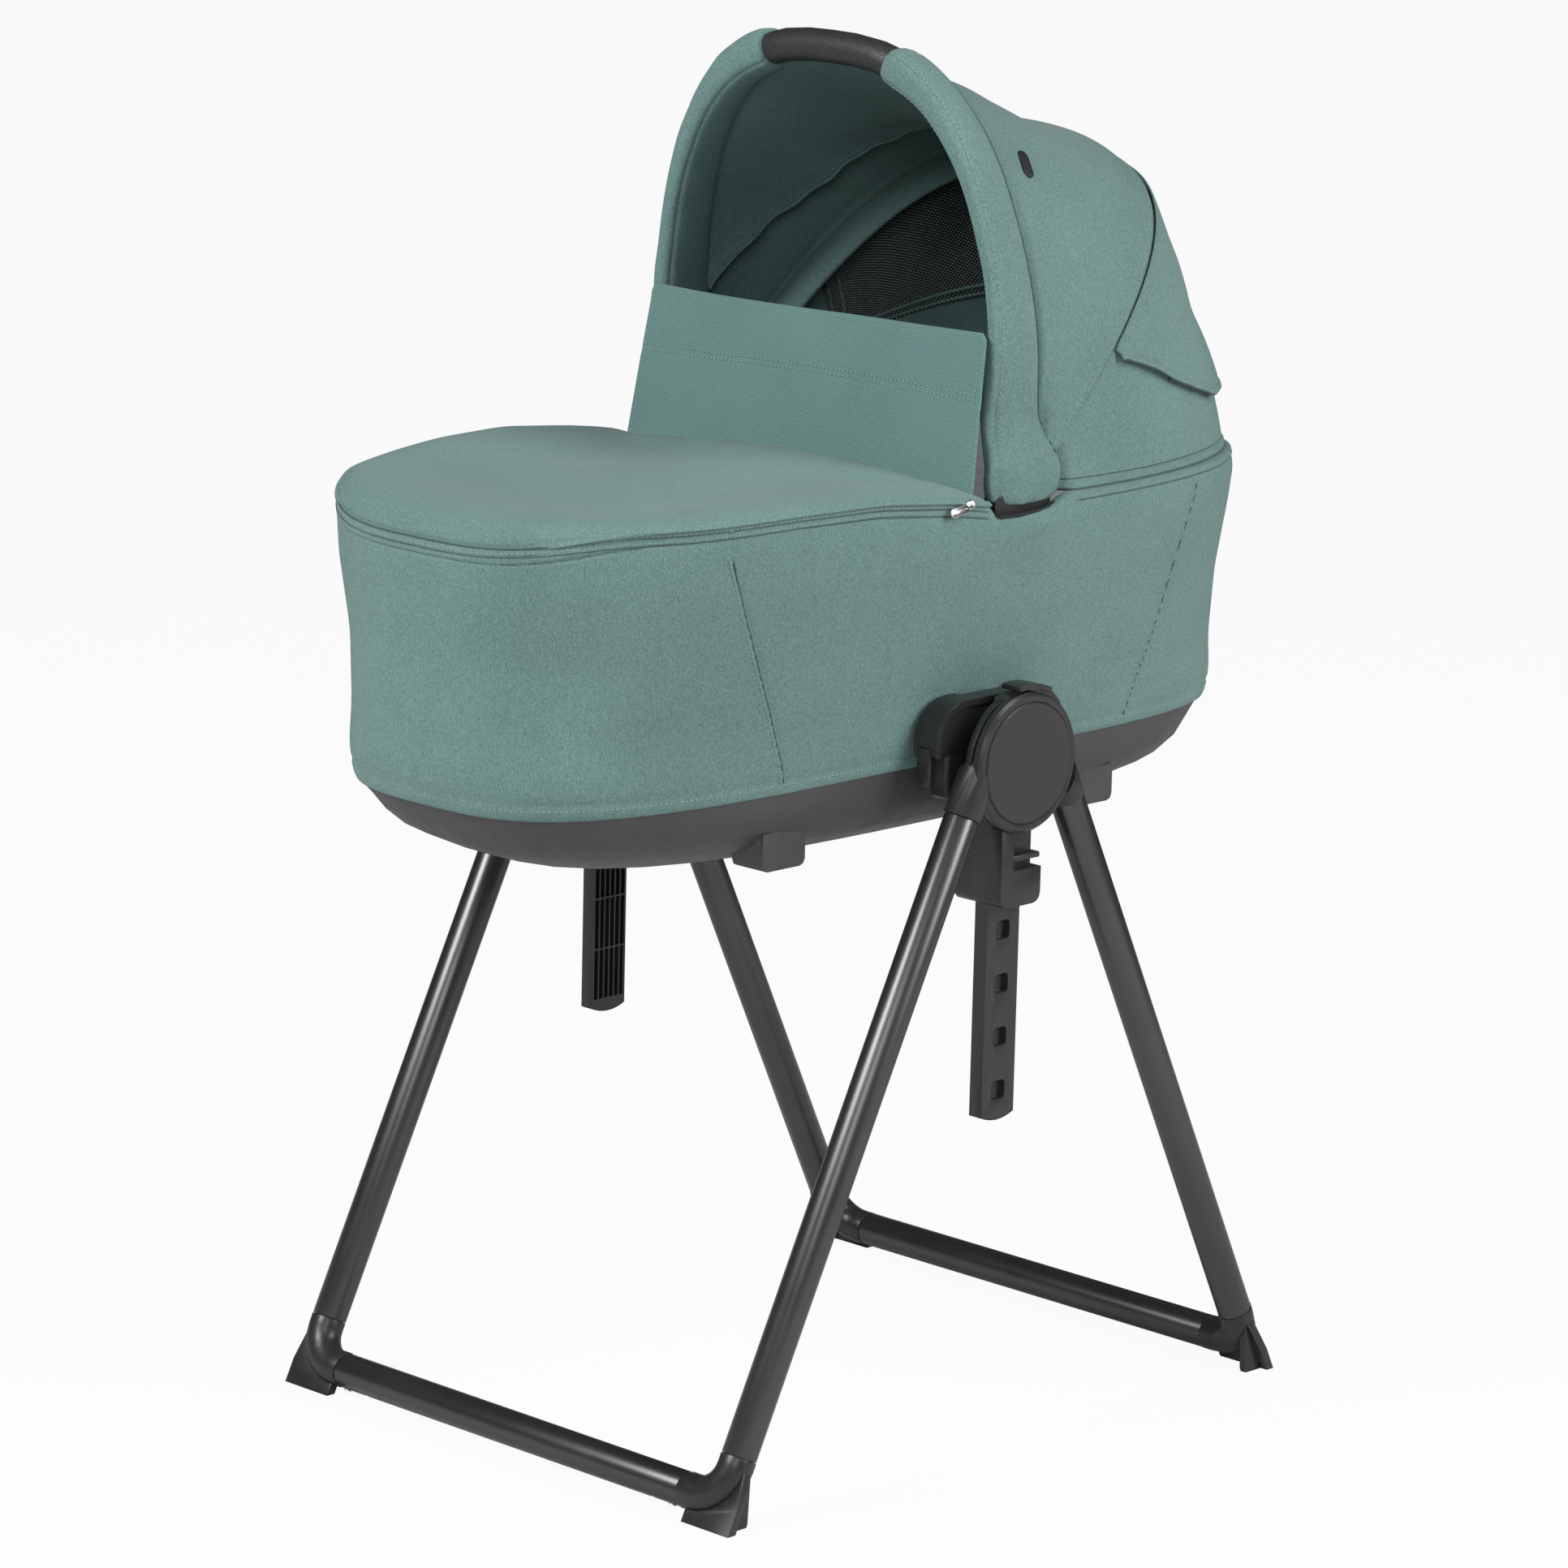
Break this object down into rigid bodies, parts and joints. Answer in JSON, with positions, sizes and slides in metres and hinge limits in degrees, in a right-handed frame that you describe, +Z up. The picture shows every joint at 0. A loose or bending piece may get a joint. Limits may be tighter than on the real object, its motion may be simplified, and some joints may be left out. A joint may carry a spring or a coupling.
{
  "type": "bassinet with folding stand",
  "caption": "Fabric-covered carry cot with a folding canopy, zipped apron and wind flap, held in two height bars on a folding tube stand.",
  "frame": {"origin": "on the floor below the middle of the cot, which is the bottom centre of the overall box", "axes": "+Z up; +X towards the head end, where the canopy is; +Y to the left side; the plane Y = 0 divides left from right"},
  "size_m": [0.877, 0.5462, 1.1792],
  "materials": {
    "anthracite_metal": "satin anthracite powder coat on tube",
    "zinc_steel": "zinc-plated blind rivets",
    "black_plastic": "satin black moulding with a fine grain",
    "dark_grey_plastic": "matt dark grey tub",
    "teal_fabric": "muted teal melange weave with tone-on-tone stitching",
    "pale_lining": "soft pale grey lining",
    "black_leatherette": "black leatherette grip with a fine grain",
    "black_mesh": "black ventilation mesh",
    "chrome": "bright zip slider and pull"
  },
  "bodies": {
    "hubs": {"hub_guide_left": "black_plastic", "hub_guide_right": "black_plastic", "hub_cap_left": "black_plastic", "hub_cap_right": "black_plastic"},
    "front_frame": {"front_leg_left": "anthracite_metal", "front_leg_right": "anthracite_metal", "front_bar": "anthracite_metal", "front_elbow_left": "black_plastic", "front_elbow_right": "black_plastic", "front_foot_left": "black_plastic", "front_foot_right": "black_plastic", "front_rivet_left": "zinc_steel", "front_rivet_right": "zinc_steel", "front_socket_left": "black_plastic", "front_socket_right": "black_plastic"},
    "rear_frame": {"rear_leg_left": "anthracite_metal", "rear_leg_right": "anthracite_metal", "rear_bar": "anthracite_metal", "rear_elbow_left": "black_plastic", "rear_elbow_right": "black_plastic", "rear_foot_left": "black_plastic", "rear_foot_right": "black_plastic", "rear_rivet_left": "zinc_steel", "rear_rivet_right": "zinc_steel", "rear_socket_left": "black_plastic", "rear_socket_right": "black_plastic"},
    "racks": {"rack_left": "black_plastic", "rack_right": "black_plastic", "dock_left": "black_plastic", "dock_right": "black_plastic"},
    "button_left": {"fold_button_left": "black_plastic"},
    "button_right": {"fold_button_right": "black_plastic"},
    "lever_left": {"latch_lever_left": "black_plastic"},
    "lever_right": {"latch_lever_right": "black_plastic"},
    "release_left": {"dock_release_left": "black_plastic"},
    "release_right": {"dock_release_right": "black_plastic"},
    "cot": {"tub_shell": "dark_grey_plastic", "rim_frame": "black_plastic", "side_cover": "teal_fabric", "liner": "pale_lining", "mattress": "pale_lining", "apron": "teal_fabric", "zip_pull": "chrome", "cot_adapter_left": "black_plastic", "cot_adapter_right": "black_plastic", "bow_hinge_left": "black_plastic", "bow_hinge_right": "black_plastic", "canopy_rear": "teal_fabric", "vent_mesh": "black_mesh", "visor_flap": "teal_fabric"},
    "flap": {"wind_flap": "teal_fabric"},
    "mid_bow": {"mid_bow": "black_plastic"},
    "handle": {"handle_bow": "black_plastic", "handle_grip": "black_leatherette", "handle_sleeve_left": "teal_fabric", "handle_sleeve_right": "teal_fabric", "canopy_front": "teal_fabric"}
  },
  "joints": [
    {"name": "front_fold", "type": "hinge", "parent": "hubs", "child": "front_frame", "pos_m": [0.008, 0, 0.5962], "axis": [0, -1, 0], "range_deg": [0, 24]},
    {"name": "rear_fold", "type": "hinge", "parent": "hubs", "child": "rear_frame", "pos_m": [0.008, 0, 0.5962], "axis": [0, 1, 0], "range_deg": [0, 24]},
    {"name": "height_slide", "type": "slide", "parent": "hubs", "child": "racks", "axis": [0, 0, 1], "range_m": [0, 0.1852]},
    {"name": "button_left_press", "type": "slide", "parent": "hubs", "child": "button_left", "axis": [0, 0, -1], "range_m": [0, 0.0025], "stiffness_N_per_m": 1500},
    {"name": "button_right_press", "type": "slide", "parent": "hubs", "child": "button_right", "axis": [0, 0, -1], "range_m": [0, 0.0025], "stiffness_N_per_m": 1500},
    {"name": "lever_left_lift", "type": "slide", "parent": "hubs", "child": "lever_left", "axis": [0, 0, 1], "range_m": [0, 0.008], "stiffness_N_per_m": 600},
    {"name": "lever_right_lift", "type": "slide", "parent": "hubs", "child": "lever_right", "axis": [0, 0, 1], "range_m": [0, 0.008], "stiffness_N_per_m": 600},
    {"name": "release_left_press", "type": "slide", "parent": "racks", "child": "release_left", "axis": [1, 0, 0], "range_m": [0, 0.003], "stiffness_N_per_m": 1500},
    {"name": "release_right_press", "type": "slide", "parent": "racks", "child": "release_right", "axis": [1, 0, 0], "range_m": [0, 0.003], "stiffness_N_per_m": 1500},
    {"name": "cot_lift_off", "type": "slide", "parent": "racks", "child": "cot", "axis": [0, 0, 1], "range_m": [0, 0.06]},
    {"name": "flap_fold", "type": "hinge", "parent": "cot", "child": "flap", "pos_m": [-0.005, 0, 0.8236], "axis": [0, -1, 0], "range_deg": [0, 88]},
    {"name": "mid_bow_fold", "type": "hinge", "parent": "cot", "child": "mid_bow", "pos_m": [0.054, 0, 0.8], "axis": [0, 1, 0], "range_deg": [0, 39], "deforming": ["canopy_rear", "vent_mesh", "visor_flap"]},
    {"name": "handle_fold", "type": "hinge", "parent": "mid_bow", "child": "handle", "pos_m": [0.054, 0, 0.8], "axis": [0, 1, 0], "range_deg": [0, 37], "deforming": ["canopy_front"]}
  ],
  "couplings": [
    {"joint": "rear_fold", "follows": "front_fold", "ratio": 1},
    {"joint": "handle_fold", "follows": "mid_bow_fold", "ratio": 0.94872}
  ]
}
